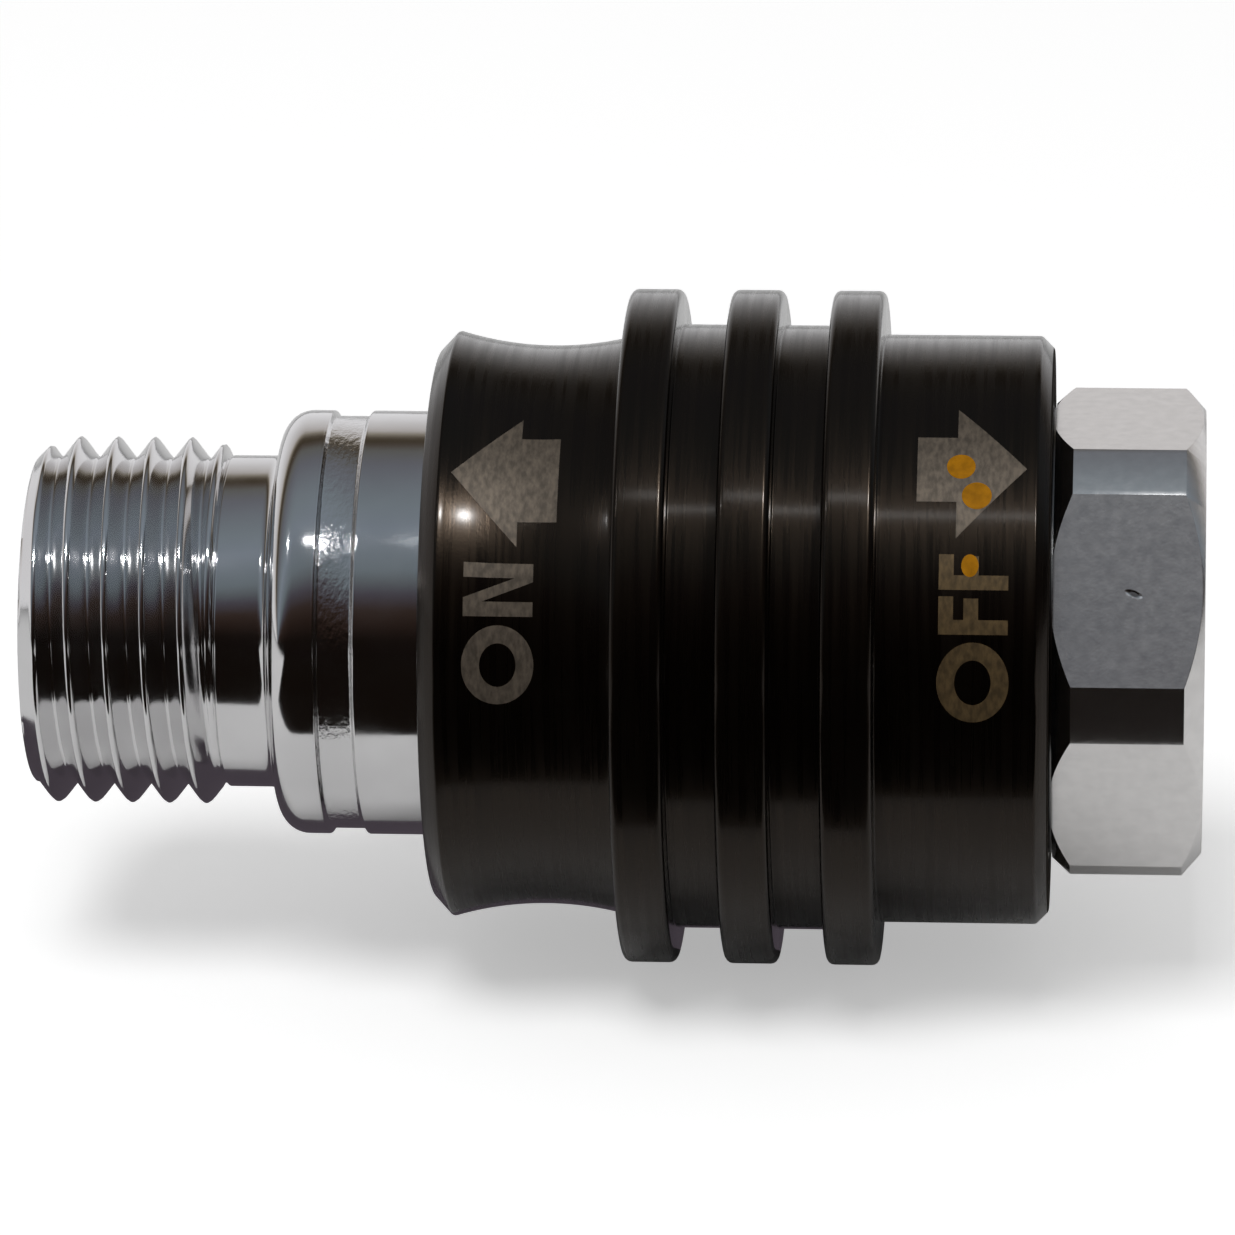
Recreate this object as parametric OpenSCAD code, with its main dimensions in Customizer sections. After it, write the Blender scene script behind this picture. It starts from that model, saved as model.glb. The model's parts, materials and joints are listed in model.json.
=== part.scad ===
// Quick disconnect coupler with an on/off sleeve: a ball-lock socket with a
// wrench end and a female port, and the male-threaded plug that it holds.
// The flow axis lies along X, with the wrench end at +X and the plug at -X.
// Sizes are in millimetres.

/* [Wrench end] */
// Width across the six wrench flats
hex_af = 16; // [15.8:0.1:17]
// Diameter that the wrench end is turned to before the flats are milled
hex_turned_d = 17.4; // [17.2:0.1:18.2]
// Length of the wrench end
hex_l = 5.3; // [4.5:0.1:8]
// Length of the chamfer at the open end
hex_back_chamfer_l = 0.7; // [0.4:0.05:1.3]
// Depth of the chamfer at the open end
hex_back_chamfer_d = 0.8; // [0.4:0.05:1]
// Length of the chamfer beside the sleeve
hex_front_chamfer_l = 0.65; // [0.3:0.05:1.2]
// Depth of the chamfer beside the sleeve
hex_front_chamfer_d = 0.6; // [0.2:0.05:0.75]

/* [Female port] */
// Tapping diameter of the female pipe thread
port_d = 11.8; // [10.5:0.1:12]
// Depth of the tapped port
port_depth = 8.3; // [7.9:0.1:12]
// Size of the countersink at the mouth of the port
port_mouth_chamfer = 1; // [0.4:0.1:1.1]

/* [Body guide] */
// Diameter of the guide that carries the sleeve
guide_d = 15.9; // [15.6:0.05:15.95]
// Length of the guide, from the wrench end to the joint with the socket
guide_l = 9; // [8.6:0.1:12]
// Thickness of the web between the port and the valve chamber
web_t = 0.7; // [0.5:0.1:1.2]
// Diameter of the hole in the web
web_hole_d = 10.4; // [9.8:0.1:10.6]
// Diameter of the valve chamber
chamber_d = 11.5; // [11.3:0.1:11.9]
// Diameter of the screwed joint between the guide and the socket
joint_d = 14; // [13.6:0.1:14.2]
// Length of the screwed joint
joint_l = 2.8; // [2:0.1:3]
// Thickness of the gasket in the screwed joint
gasket_t = 0.3; // [0.2:0.05:0.5]

/* [Valve] */
// Thickness of the disc that carries the valve spring
retainer_t = 0.8; // [0.6:0.1:1.2]
// Diameter of the hub that guides the valve stem
hub_d = 4.3; // [4:0.1:5]
// Length of the hub beyond the disc
hub_l = 2; // [1.8:0.1:2.3]
// Diameter of the valve stem
stem_d = 3; // [2.4:0.1:3.2]
// Number of flow holes in the spring disc
retainer_holes = 6; // [4:1:8]
// Diameter of the flow holes in the spring disc
retainer_hole_d = 1.4; // [1:0.1:1.5]
// Wire diameter of the valve spring
spring_wire_d = 0.6; // [0.4:0.05:0.65]
// Mean diameter of the valve spring
spring_mean_d = 7.2; // [6.8:0.1:8]
// Length of the valve spring with the valve open
spring_l = 3.4; // [3.3:0.1:5]
// Number of turns of the valve spring
spring_turns = 4; // [3.5:0.25:4]
// Diameter of the valve head
head_d = 10.6; // [10:0.1:10.8]
// Thickness of the valve head
head_t = 1.2; // [0.8:0.1:2]
// Thickness of the valve seal
seal_t = 0.6; // [0.4:0.1:1]
// Distance that the valve opens
valve_lift = 2; // [1.5:0.1:2.5]
// Outer diameter of the valve's hollow nose
nose_d = 8.2; // [7.8:0.1:8.4]
// Width of each window in the valve's nose
window_w = 2.6; // [1.6:0.1:3]

/* [Socket] */
// Outer diameter of the socket
socket_d = 13.7; // [13.5:0.05:13.75]
// Thickness of the wall that the valve closes on
seat_t = 1.4; // [1:0.1:2]
// Gap between the valve seat wall and the groove of the seals
seal_groove_inset = 0.9; // [0.6:0.1:1.5]
// Section diameter of the O-ring round the probe
probe_ring_d = 1.26; // [1.1:0.02:1.3]
// Thickness of the backup ring beside that O-ring
backup_t = 0.75; // [0.5:0.05:1]
// Distance from the seal groove to the middle of the balls
ball_inset = 2; // [1.9:0.1:3]
// Width of the stop ring
stop_ring_w = 0.5; // [0.4:0.05:0.6]
// Distance from the middle of the balls to the stop ring's groove
stop_ring_inset = 2.1; // [1.9:0.1:2.2]
// Depth of the stop ring's groove
stop_groove_depth = 0.5; // [0.3:0.05:0.6]
// Distance from the stop ring's groove to the end of the socket
socket_lip = 0.7; // [0.6:0.1:1.2]

/* [Ball lock] */
// Diameter of the lock balls
ball_d = 3; // [2.8:0.05:3]
// Distance that each ball moves between locked and released
ball_travel = 0.8; // [0.75:0.05:0.8]
// Gap between a ball and its pocket
ball_gap = 0.03; // [0.02:0.01:0.05]

/* [Sleeve] */
// Travel of the sleeve between off and on
sleeve_travel = 3.5; // [3.3:0.1:3.7]
// Gap between the sleeve and the wrench end in the off position
sleeve_gap = 0.1; // [0.05:0.05:0.3]
// Diameter of the plain barrel beside the wrench end
barrel_d = 21; // [20:0.1:22]
// Diameter over the grip ribs
rib_d = 24.1; // [22.5:0.1:26]
// Width of each grip rib
rib_w = 1.85; // [1.2:0.05:2.3]
// Distance from one grip rib to the next
rib_pitch = 3.62; // [3:0.02:4]
// Number of grip ribs
rib_count = 3; // [2:1:3]
// Radius on the edges of the grip ribs
rib_edge_r = 0.25; // [0.1:0.05:0.4]
// Diameter at the bottom of the valleys between the ribs
valley_d = 21.6; // [20.5:0.1:22.2]
// Length of the waisted front, from the last rib to the mouth
waist_l = 6.8; // [6:0.1:7]
// Distance from the mouth to the narrowest point of the waist
waist_inset = 4; // [3.4:0.1:4.4]
// Smallest diameter of the waist
waist_d = 20; // [19:0.1:20.4]
// Diameter of the flare at the mouth
flare_d = 21; // [20.8:0.1:22]
// Length of the chamfer at the mouth
mouth_chamfer_l = 0.65; // [0.3:0.05:1]
// Depth of the chamfer at the mouth
mouth_chamfer_d = 0.7; // [0.3:0.05:1]
// Bore of the mouth, which passes over the plug's collar
mouth_d = 15.6; // [15.45:0.05:15.8]
// Size of the chamfer beside the wrench end
barrel_chamfer = 0.45; // [0.2:0.05:0.8]

/* [Sleeve seal and detent] */
// Section diameter of the O-ring between the guide and the sleeve
guide_ring_d = 0.84; // [0.7:0.02:0.9]
// Distance from the wrench end to the middle of that O-ring
guide_ring_inset = 4.5; // [4.4:0.05:4.6]
// Wire diameter of the detent ring
detent_wire_d = 0.54; // [0.4:0.02:0.56]
// Distance from the O-ring to the detent ring
detent_inset = 1.2; // [1.05:0.05:1.25]

/* [Plug] */
// Diameter of the probe that enters the socket
probe_d = 9.2; // [9:0.05:9.2]
// Bore of the plug
plug_bore_d = 6; // [5:0.1:6.2]
// Diameter of the collar
collar_d = 15.2; // [14.8:0.1:15.2]
// Length of the collar
collar_l = 5.8; // [5.4:0.1:8]
// Radius on the front edge of the collar
collar_edge_r = 1; // [0.3:0.05:1]
// Distance from the back of the collar to its groove
collar_groove_inset = 2.65; // [2.2:0.05:2.7]
// Width of the collar's groove
collar_groove_w = 1.4; // [0.5:0.1:1.4]
// Depth of the collar's groove
collar_groove_depth = 0.2; // [0.1:0.05:0.4]
// Diameter of the neck behind the male thread
neck_d = 11.9; // [10.5:0.1:12.4]
// Length of the neck
neck_l = 2; // [1.5:0.1:3]
// Fillet between the neck and the collar
neck_fillet = 0.4; // [0.2:0.05:0.6]
// Major diameter of the male pipe thread
thread_d = 13.157; // [12.9:0.001:13.4]
// Length of the male pipe thread
thread_l = 6.9; // [6:0.1:12]
// Size of the chamfer at the end of the male thread
thread_chamfer = 0.7; // [0.3:0.05:0.9]

/* [Fits] */
// Radial clearance of pieces that slide or turn in each other
slide_fit = 0.05; // [0.04:0.01:0.06]
// Radial clearance of seals and rings at the piece that runs past them
seal_fit = 0.02; // [0.01:0.01:0.03]
// Gap between end faces that meet when the plug is home
face_gap = 0.05; // [0.02:0.01:0.1]

/* [Hidden] */
$fn = 96;
cut = 0.5;
ball_count = 6;

// Places along the axis are counted from the open end of the female port.
adapter_end = hex_l + guide_l;
joint_at = adapter_end - joint_l;
boss_at = joint_at + gasket_t;
retainer_at = port_depth + web_t;
spring_at = retainer_at + retainer_t;
head_at = spring_at + spring_l;
seal_at = head_at + head_t;
seat_at = seal_at + seal_t + valve_lift;
seat_end = seat_at + seat_t;
probe_at = seat_end + face_gap;
groove_slack = 0.1;
seal_groove_at = seat_end + seal_groove_inset;
seal_groove_end = seal_groove_at + probe_ring_d + backup_t + 3 * groove_slack;
ball_at = seal_groove_end + ball_inset;
stop_groove_w = stop_ring_w + groove_slack;
stop_groove_at = ball_at + stop_ring_inset;
socket_end = stop_groove_at + stop_groove_w + socket_lip;
collar_at = socket_end + 2 * face_gap;
collar_end = collar_at + collar_l;
neck_end = collar_end + neck_l;
total_l = neck_end + thread_l;

// Radii of the socket and of what it holds
probe_r = probe_d / 2;
socket_bore_r = probe_r + slide_fit;
seal_groove_r = probe_r + probe_ring_d + 2 * seal_fit;
ball_r = ball_d / 2;
pocket_r = ball_r + ball_gap;
ball_released_r = socket_bore_r + ball_r;
ball_locked_r = ball_released_r - ball_travel;
seat_hole_r = nose_d / 2 + 3 * slide_fit;
nose_bore_r = plug_bore_d / 2;
spring_boss_r = spring_mean_d / 2 - spring_wire_d / 2 - 3 * slide_fit;

// Inside of the sleeve: the lock land, and the ramp that lets the balls out
lock_land_r = socket_d / 2 + slide_fit;
ramp_slope = ball_travel / sleeve_travel;
ramp_angle = atan(ramp_slope);
ball_reach = (ball_r + slide_fit) / cos(ramp_angle);
mouth_r = mouth_d / 2;
function ramp_r(at) = ball_released_r + ball_reach + (at - ball_at) * ramp_slope;
function ramp_place(r) = ball_at + (r - ball_released_r - ball_reach) / ramp_slope;
land_end = ramp_place(lock_land_r);
land_l = 3;
guide_bore_r = guide_d / 2 + slide_fit;
stop_ring_r = ramp_r(stop_groove_at - sleeve_travel) - slide_fit;

// Outside of the sleeve
mouth_lip = 0.2;
sleeve_at = hex_l + sleeve_gap;
sleeve_end = collar_at + mouth_lip;
waist_at = sleeve_end - waist_l;
ribs_at = waist_at - rib_w - (rib_count - 1) * rib_pitch;
flare_reach = waist_inset - mouth_chamfer_l;
flare_rise = (flare_d - waist_d) / 2;
waist_arc_r = (pow(flare_reach, 2) + pow(flare_rise, 2)) / (2 * flare_rise);

// Seal and detent on the guide
guide_ring_at = hex_l + guide_ring_inset;
detent_at = guide_ring_at + detent_inset;
detent_depth = 0.2;

// Lays a piece that is built up from the port's end along +Z onto the flow axis.
module on_axis()
    translate([total_l / 2, 0, 0])
        rotate([0, -90, 0])
            children();

// Solid round bar between two places on the axis
module bar(r, from, to)
    translate([0, 0, from])
        cylinder(r = r, h = to - from);

// Solid cone between two places on the axis
module taper(r_from, r_to, from, to)
    translate([0, 0, from])
        cylinder(r1 = r_from, r2 = r_to, h = to - from);

// Flat ring or short tube between two places on the axis
module tube(r_in, r_out, from, to)
    difference() {
        bar(r_out, from, to);
        bar(r_in, from - cut, to + cut);
    }

// Ring of round section
module round_ring(middle_r, section_r, at)
    translate([0, 0, at])
        rotate_extrude()
            translate([middle_r, 0])
                circle(r = section_r);

// Gap in a split ring, wide enough to spring it over its groove
module ring_gap(r, at, w)
    translate([-r - cut, -w / 2, at - cut])
        cube([r + cut, w, 2 * cut]);

// Copies a child round the axis, with the first towards the top
module around(count)
    for (i = [0 : count - 1])
        rotate([0, 0, i * 360 / count])
            children();

// Round bar turned to the wrench end's profile
module turned_end() {
    r = hex_turned_d / 2;
    rotate_extrude()
        polygon([
            [0, 0],
            [r - hex_back_chamfer_d, 0],
            [r, hex_back_chamfer_l],
            [r, hex_l - hex_front_chamfer_l],
            [r - hex_front_chamfer_d, hex_l],
            [0, hex_l]
        ]);
}

module rear_adapter() {
    ring_groove_w = guide_ring_d + 2 * groove_slack;
    detent_groove_w = detent_wire_d + groove_slack;
    edge = 0.3;
    color("silver")
        on_axis()
            difference() {
                union() {
                    intersection() {
                        turned_end();
                        rotate([0, 0, 30])
                            cylinder(d = hex_af / cos(30), h = hex_l, $fn = 6);
                    }
                    bar(guide_d / 2, hex_l - cut, adapter_end - edge);
                    taper(guide_d / 2, guide_d / 2 - edge, adapter_end - edge, adapter_end);
                }
                bar(port_d / 2, -cut, port_depth);
                taper(port_d / 2 + port_mouth_chamfer + cut, port_d / 2, -cut, port_mouth_chamfer);
                bar(web_hole_d / 2, 0, adapter_end);
                bar(chamber_d / 2, retainer_at, adapter_end);
                bar(joint_d / 2, joint_at, adapter_end + cut);
                tube(guide_d / 2 - guide_ring_d - seal_fit, guide_d,
                    guide_ring_at - ring_groove_w / 2, guide_ring_at + ring_groove_w / 2);
                tube(guide_d / 2 - detent_wire_d - seal_fit, guide_d,
                    detent_at - detent_groove_w / 2, detent_at + detent_groove_w / 2);
            }
}

module body_gasket()
    color("darkslategray")
        on_axis()
            tube(chamber_d / 2 + slide_fit, joint_d / 2 - slide_fit, joint_at, boss_at);

// One ball pocket, whose rounded bottom keeps the ball out of the empty socket
module ball_pocket()
    translate([ball_locked_r, 0, ball_at]) {
        sphere(r = pocket_r);
        rotate([0, 90, 0])
            cylinder(r = pocket_r, h = socket_d);
    }

module socket_body() {
    edge = 0.4;
    color("goldenrod")
        on_axis()
            difference() {
                union() {
                    bar(joint_d / 2 - seal_fit, boss_at, adapter_end);
                    bar(socket_d / 2, adapter_end, socket_end - edge);
                    taper(socket_d / 2, socket_d / 2 - edge, socket_end - edge, socket_end);
                }
                bar(chamber_d / 2, boss_at - cut, seat_at);
                bar(seat_hole_r, seat_at - cut, seat_end + cut);
                bar(socket_bore_r, seat_end, socket_end + cut);
                taper(socket_bore_r, socket_bore_r + edge + cut, socket_end - edge, socket_end + cut);
                bar(seal_groove_r, seal_groove_at, seal_groove_end);
                tube(socket_d / 2 - stop_groove_depth, socket_d,
                    stop_groove_at, stop_groove_at + stop_groove_w);
                around(ball_count)
                    ball_pocket();
            }
}

// Disc with a guide hub for the valve stem and flow holes outside the spring
module spring_retainer() {
    hole_circle_r = web_hole_d / 2 - retainer_hole_d / 2;
    color("khaki")
        on_axis()
            difference() {
                union() {
                    bar(chamber_d / 2 - seal_fit, retainer_at, spring_at);
                    bar(hub_d / 2, retainer_at, spring_at + hub_l);
                }
                bar(stem_d / 2 + slide_fit, retainer_at - cut, spring_at + hub_l + cut);
                around(retainer_holes)
                    translate([hole_circle_r, 0, 0])
                        bar(retainer_hole_d / 2, retainer_at - cut, spring_at + cut);
            }
}

// Coil spring of round wire with one closed turn at each end
module poppet_spring() {
    steps = 24;
    sides = 8;
    wire_r = spring_wire_d / 2;
    coil_r = spring_mean_d / 2;
    rise = spring_l - spring_wire_d;
    closed_pitch = spring_wire_d * 1.02;
    open_pitch = (rise - 2 * closed_pitch) / (spring_turns - 2);
    last = round(steps * spring_turns);
    function height(turn) = turn < 1 ? turn * closed_pitch
        : turn < spring_turns - 1 ? closed_pitch + (turn - 1) * open_pitch
        : rise - (spring_turns - turn) * closed_pitch;
    points = [for (i = [0 : last], j = [0 : sides - 1])
        let (turn = i * spring_turns / last, out = coil_r + wire_r * cos(j * 360 / sides))
        [out * cos(turn * 360), out * sin(turn * 360),
            spring_at + wire_r + height(turn) + wire_r * sin(j * 360 / sides)]];
    skin = [for (i = [0 : last - 1], j = [0 : sides - 1])
        let (next = (j + 1) % sides)
        [i * sides + j, i * sides + next, (i + 1) * sides + next, (i + 1) * sides + j]];
    ends = [[for (j = [sides - 1 : -1 : 0]) j], [for (j = [0 : sides - 1]) last * sides + j]];
    color("lightsteelblue")
        on_axis()
            polyhedron(points, concat(skin, ends));
}

// Valve: guided stem, spring boss, head, and a hollow nose with four windows
module poppet() {
    stem_overhang = 0.4;
    window_at = seal_at + seal_t + 0.1;
    window_l = valve_lift - 0.1;
    color("peru")
        on_axis()
            difference() {
                union() {
                    bar(stem_d / 2, retainer_at - stem_overhang, head_at);
                    bar(spring_boss_r, head_at - 0.8, head_at);
                    bar(head_d / 2, head_at, seal_at);
                    bar(nose_d / 2, seal_at, seat_end);
                }
                bar(nose_bore_r, seal_at + seal_t / 2, seat_end + cut);
                for (turn = [0, 90])
                    rotate([0, 0, turn])
                        translate([-nose_d, -window_w / 2, window_at])
                            cube([2 * nose_d, window_w, window_l]);
            }
}

module poppet_seal()
    color("dimgray")
        on_axis()
            tube(nose_d / 2 + seal_fit, head_d / 2, seal_at, seal_at + seal_t);

module probe_seal()
    color("black")
        on_axis()
            round_ring(probe_r + seal_fit + probe_ring_d / 2, probe_ring_d / 2,
                seal_groove_at + groove_slack + probe_ring_d / 2);

module backup_ring() {
    at = seal_groove_end - groove_slack - backup_t;
    color("white")
        on_axis()
            tube(probe_r + seal_fit, seal_groove_r - seal_fit, at, at + backup_t);
}

module stop_ring() {
    at = stop_groove_at + groove_slack / 2;
    color("slategray")
        on_axis()
            difference() {
                tube(socket_d / 2 - stop_groove_depth + seal_fit, stop_ring_r, at, at + stop_ring_w);
                ring_gap(stop_ring_r, at + stop_ring_w / 2, 2);
            }
}

module detent_ring()
    color("slategray")
        on_axis()
            difference() {
                round_ring(guide_d / 2 - detent_wire_d / 2, detent_wire_d / 2, detent_at);
                ring_gap(guide_d / 2, detent_at, 1.5);
            }

module sleeve_oring()
    color("black")
        on_axis()
            round_ring(guide_d / 2 - guide_ring_d / 2 + seal_fit, guide_ring_d / 2, guide_ring_at);

// Grip rib with rounded outer edges
module rib_profile(at) {
    r = rib_d / 2;
    translate([0, at]) {
        square([r - rib_edge_r, rib_w]);
        translate([0, rib_edge_r])
            square([r, rib_w - 2 * rib_edge_r]);
        for (edge = [rib_edge_r, rib_w - rib_edge_r])
            translate([r - rib_edge_r, edge])
                circle(r = rib_edge_r);
    }
}

// Waisted front whose hollow is one arc from the last rib to the flare
module waist_profile() {
    r = flare_d / 2;
    difference() {
        polygon([
            [0, waist_at],
            [r, waist_at],
            [r, sleeve_end - mouth_chamfer_l],
            [r - mouth_chamfer_d, sleeve_end],
            [0, sleeve_end]
        ]);
        translate([waist_d / 2 + waist_arc_r, sleeve_end - waist_inset])
            circle(r = waist_arc_r, $fn = 180);
    }
}

module sleeve_outline() {
    r = barrel_d / 2;
    polygon([
        [0, sleeve_at],
        [r - barrel_chamfer, sleeve_at],
        [r, sleeve_at + barrel_chamfer],
        [r, ribs_at],
        [valley_d / 2, ribs_at],
        [valley_d / 2, waist_at],
        [0, waist_at]
    ]);
    for (i = [0 : rib_count - 1])
        rib_profile(ribs_at + i * rib_pitch);
    waist_profile();
}

// Bore of the sleeve: guide bore, lock land, ball ramp and mouth
module sleeve_bore() {
    edge = 0.3;
    mouth_at = ramp_place(mouth_r);
    polygon([
        [0, sleeve_at - cut],
        [guide_bore_r + edge + cut, sleeve_at - cut],
        [guide_bore_r, sleeve_at + edge],
        [guide_bore_r, land_end - land_l],
        [lock_land_r, land_end - land_l],
        [lock_land_r, land_end],
        [mouth_r, mouth_at],
        [mouth_r, sleeve_end - edge],
        [mouth_r + edge + cut, sleeve_end + cut],
        [0, sleeve_end + cut]
    ]);
    for (at = [detent_at, detent_at - sleeve_travel])
        translate([guide_bore_r - detent_wire_d / 2 + detent_depth, at])
            circle(d = detent_wire_d + seal_fit);
}

module sleeve()
    color([0.13, 0.11, 0.1])
        on_axis()
            rotate_extrude()
                difference() {
                    sleeve_outline();
                    sleeve_bore();
                }

// Collar with a rounded front edge, a small back chamfer and a shallow groove
module collar_profile() {
    r = collar_d / 2;
    back_edge = 0.2;
    groove_at = collar_at + collar_groove_inset;
    difference() {
        union() {
            polygon([
                [0, collar_at],
                [r - back_edge, collar_at],
                [r, collar_at + back_edge],
                [r, collar_end - collar_edge_r],
                [0, collar_end - collar_edge_r]
            ]);
            square([r - collar_edge_r, collar_end]);
            translate([r - collar_edge_r, collar_end - collar_edge_r])
                circle(r = collar_edge_r);
        }
        square([r, collar_at]);
        translate([r - collar_groove_depth, groove_at])
            square([cut, collar_groove_w]);
    }
}

// Neck with a fillet where it meets the collar
module neck_profile() {
    r = neck_d / 2;
    translate([0, collar_end - cut])
        square([r, neck_end - collar_end + cut]);
    difference() {
        translate([0, collar_end - cut])
            square([r + neck_fillet, cut + neck_fillet]);
        translate([r + neck_fillet, collar_end + neck_fillet])
            circle(r = neck_fillet);
    }
}

module plug_outline() {
    edge = 0.4;
    root_edge = 0.5;
    r = thread_d / 2;
    polygon([
        [0, probe_at],
        [probe_r - edge, probe_at],
        [probe_r, probe_at + edge],
        [probe_r, collar_at + cut],
        [0, collar_at + cut]
    ]);
    collar_profile();
    neck_profile();
    polygon([
        [0, neck_end - cut],
        [neck_d / 2, neck_end - cut],
        [neck_d / 2, neck_end],
        [r, neck_end + root_edge],
        [r, total_l - thread_chamfer],
        [r - thread_chamfer, total_l],
        [0, total_l]
    ]);
}

// Bore of the plug, with a small countersink at each end
module plug_bore() {
    edge = 0.3;
    r = plug_bore_d / 2;
    polygon([
        [0, probe_at - cut],
        [r + edge + cut, probe_at - cut],
        [r, probe_at + edge],
        [r, total_l - edge],
        [r + edge + cut, total_l + cut],
        [0, total_l + cut]
    ]);
}

module plug_body()
    color("gainsboro")
        on_axis()
            rotate_extrude()
                difference() {
                    plug_outline();
                    plug_bore();
                    translate([ball_locked_r, ball_at])
                        circle(r = ball_r + slide_fit);
                }

// One lock ball, at its released place
module lock_ball(i)
    color("whitesmoke")
        on_axis()
            rotate([0, 0, (i - 1) * 360 / ball_count])
                translate([ball_released_r, 0, ball_at])
                    sphere(r = ball_r);

rear_adapter();
body_gasket();
socket_body();
spring_retainer();
poppet_spring();
poppet();
poppet_seal();
probe_seal();
backup_ring();
stop_ring();
detent_ring();
sleeve_oring();
sleeve();
plug_body();
lock_ball(1);  // lock_ball_1
lock_ball(2);  // lock_ball_2
lock_ball(3);  // lock_ball_3
lock_ball(4);  // lock_ball_4
lock_ball(5);  // lock_ball_5
lock_ball(6);  // lock_ball_6
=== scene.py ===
import json
import math

import bmesh
import bpy
from mathutils import Matrix, Vector


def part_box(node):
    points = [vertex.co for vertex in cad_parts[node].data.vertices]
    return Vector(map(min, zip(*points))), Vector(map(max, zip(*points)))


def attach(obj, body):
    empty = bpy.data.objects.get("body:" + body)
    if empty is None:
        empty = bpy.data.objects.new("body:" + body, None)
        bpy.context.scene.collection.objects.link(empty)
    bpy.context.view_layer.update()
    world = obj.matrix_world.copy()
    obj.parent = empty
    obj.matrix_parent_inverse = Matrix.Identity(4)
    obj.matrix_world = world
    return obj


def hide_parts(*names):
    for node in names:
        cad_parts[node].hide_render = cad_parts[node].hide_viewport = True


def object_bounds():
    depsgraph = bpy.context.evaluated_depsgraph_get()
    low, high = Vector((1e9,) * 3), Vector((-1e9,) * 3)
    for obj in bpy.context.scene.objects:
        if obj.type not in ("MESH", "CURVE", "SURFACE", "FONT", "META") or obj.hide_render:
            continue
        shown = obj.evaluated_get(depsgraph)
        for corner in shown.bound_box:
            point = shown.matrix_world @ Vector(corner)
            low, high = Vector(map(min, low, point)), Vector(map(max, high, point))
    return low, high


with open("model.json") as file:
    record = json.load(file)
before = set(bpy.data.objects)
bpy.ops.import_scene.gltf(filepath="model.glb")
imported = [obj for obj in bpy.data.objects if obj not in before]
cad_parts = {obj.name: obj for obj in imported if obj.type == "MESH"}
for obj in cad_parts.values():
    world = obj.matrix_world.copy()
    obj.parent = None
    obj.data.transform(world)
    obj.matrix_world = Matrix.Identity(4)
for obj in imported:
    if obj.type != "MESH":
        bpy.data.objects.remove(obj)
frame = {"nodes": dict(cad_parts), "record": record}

bl_info = {
    "name": "Quick disconnect coupler",
    "version": (1, 0, 0),
    "blender": (4, 5, 0),
    "location": "3D View > Sidebar > Coupler",
    "description": "Turned, threaded and marked pieces of a ball-lock coupler, with a small studio",
    "category": "Object",
}

# The flow axis is X, with the wrench end at +X. Lengths are in metres, and MM turns
# millimetres into them. An outline is a list of (x, radius) points. Points closer than NEAR
# are one point. SEAM is the width of the band that joins a thread's skin to the turned body.
MM = 0.001
NEAR = 0.0001 * MM
SEAM = 0.02 * MM
FULL_TURN = 2 * math.pi
TURN_STEPS = 192
CAD_BOX = [[float(value) for value in corner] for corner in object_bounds()]
SLEEVE_LOW, SLEEVE_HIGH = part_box("sleeve")
PLUG_LOW, PLUG_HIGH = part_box("plug_body")
ADAPTER_LOW, ADAPTER_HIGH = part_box("rear_adapter")
DETENT_LOW, DETENT_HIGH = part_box("detent_ring")
RING_LOW, RING_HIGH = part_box("sleeve_oring")
BALL_LOW, BALL_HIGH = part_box("lock_ball_1")
MOUNTS = {mount["name"]: mount for mount in frame["record"]["mounts"]}


def length(label, words, millimetres):
    """A length that the user can change, written in millimetres."""
    return bpy.props.FloatProperty(
        name=label, description=words, default=millimetres * MM, min=0, precision=6, unit="LENGTH")


def colour(label, words, value):
    """A colour that the user can change."""
    return bpy.props.FloatVectorProperty(
        name=label, description=words, default=value, size=3, min=0, max=1, subtype="COLOR")


def angle(label, words, degrees):
    """An angle that the user can change, written in degrees."""
    return bpy.props.FloatProperty(
        name=label, description=words, default=math.radians(degrees), subtype="ANGLE")


class SleeveSizes(bpy.types.PropertyGroup):
    """Turned shape of the sliding sleeve."""
    rib_count: bpy.props.IntProperty(name="Ribs", description="Number of grip ribs", default=3, min=1)
    rib_width: length("Rib width", "Width of each grip rib", 1.85)
    rib_pitch: length("Rib pitch", "Distance from one grip rib to the next", 3.62)
    rib_edge: length("Rib edge", "Radius on the outer edges of the ribs", 0.25)
    valley_radius: length("Valley radius", "Radius at the bottom of the valleys", 10.8)
    barrel_radius: length("Barrel radius", "Radius of the plain barrel", 10.5)
    barrel_chamfer: length("Barrel chamfer", "Chamfer beside the wrench end", 0.45)
    waist_length: length("Waist length", "From the mouth to the first rib", 6.8)
    waist_inset: length("Waist inset", "From the mouth to the narrowest point", 4)
    waist_radius: length("Waist radius", "Radius at the narrowest point", 10)
    flare_radius: length("Flare radius", "Radius of the flare at the mouth", 10.5)
    mouth_length: length("Mouth chamfer length", "Length of the chamfer at the mouth", 0.65)
    mouth_depth: length("Mouth chamfer depth", "Depth of the chamfer at the mouth", 0.7)
    mouth_bore: length("Mouth bore", "Radius of the bore at the mouth", 7.8)
    ramp_from: length("Ramp start", "From the mouth to the start of the ball ramp", 3.4375)
    land_from: length("Land start", "From the mouth to the start of the lock land", 7.375)
    land_to: length("Land end", "From the mouth to the end of the lock land", 10.375)
    land_bore: length("Land bore", "Radius of the lock land", 6.9)
    guide_bore: length("Guide bore", "Radius of the bore that runs on the guide", 8)
    travel: length("Travel", "Distance between the two detent grooves", 3.5)


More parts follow.
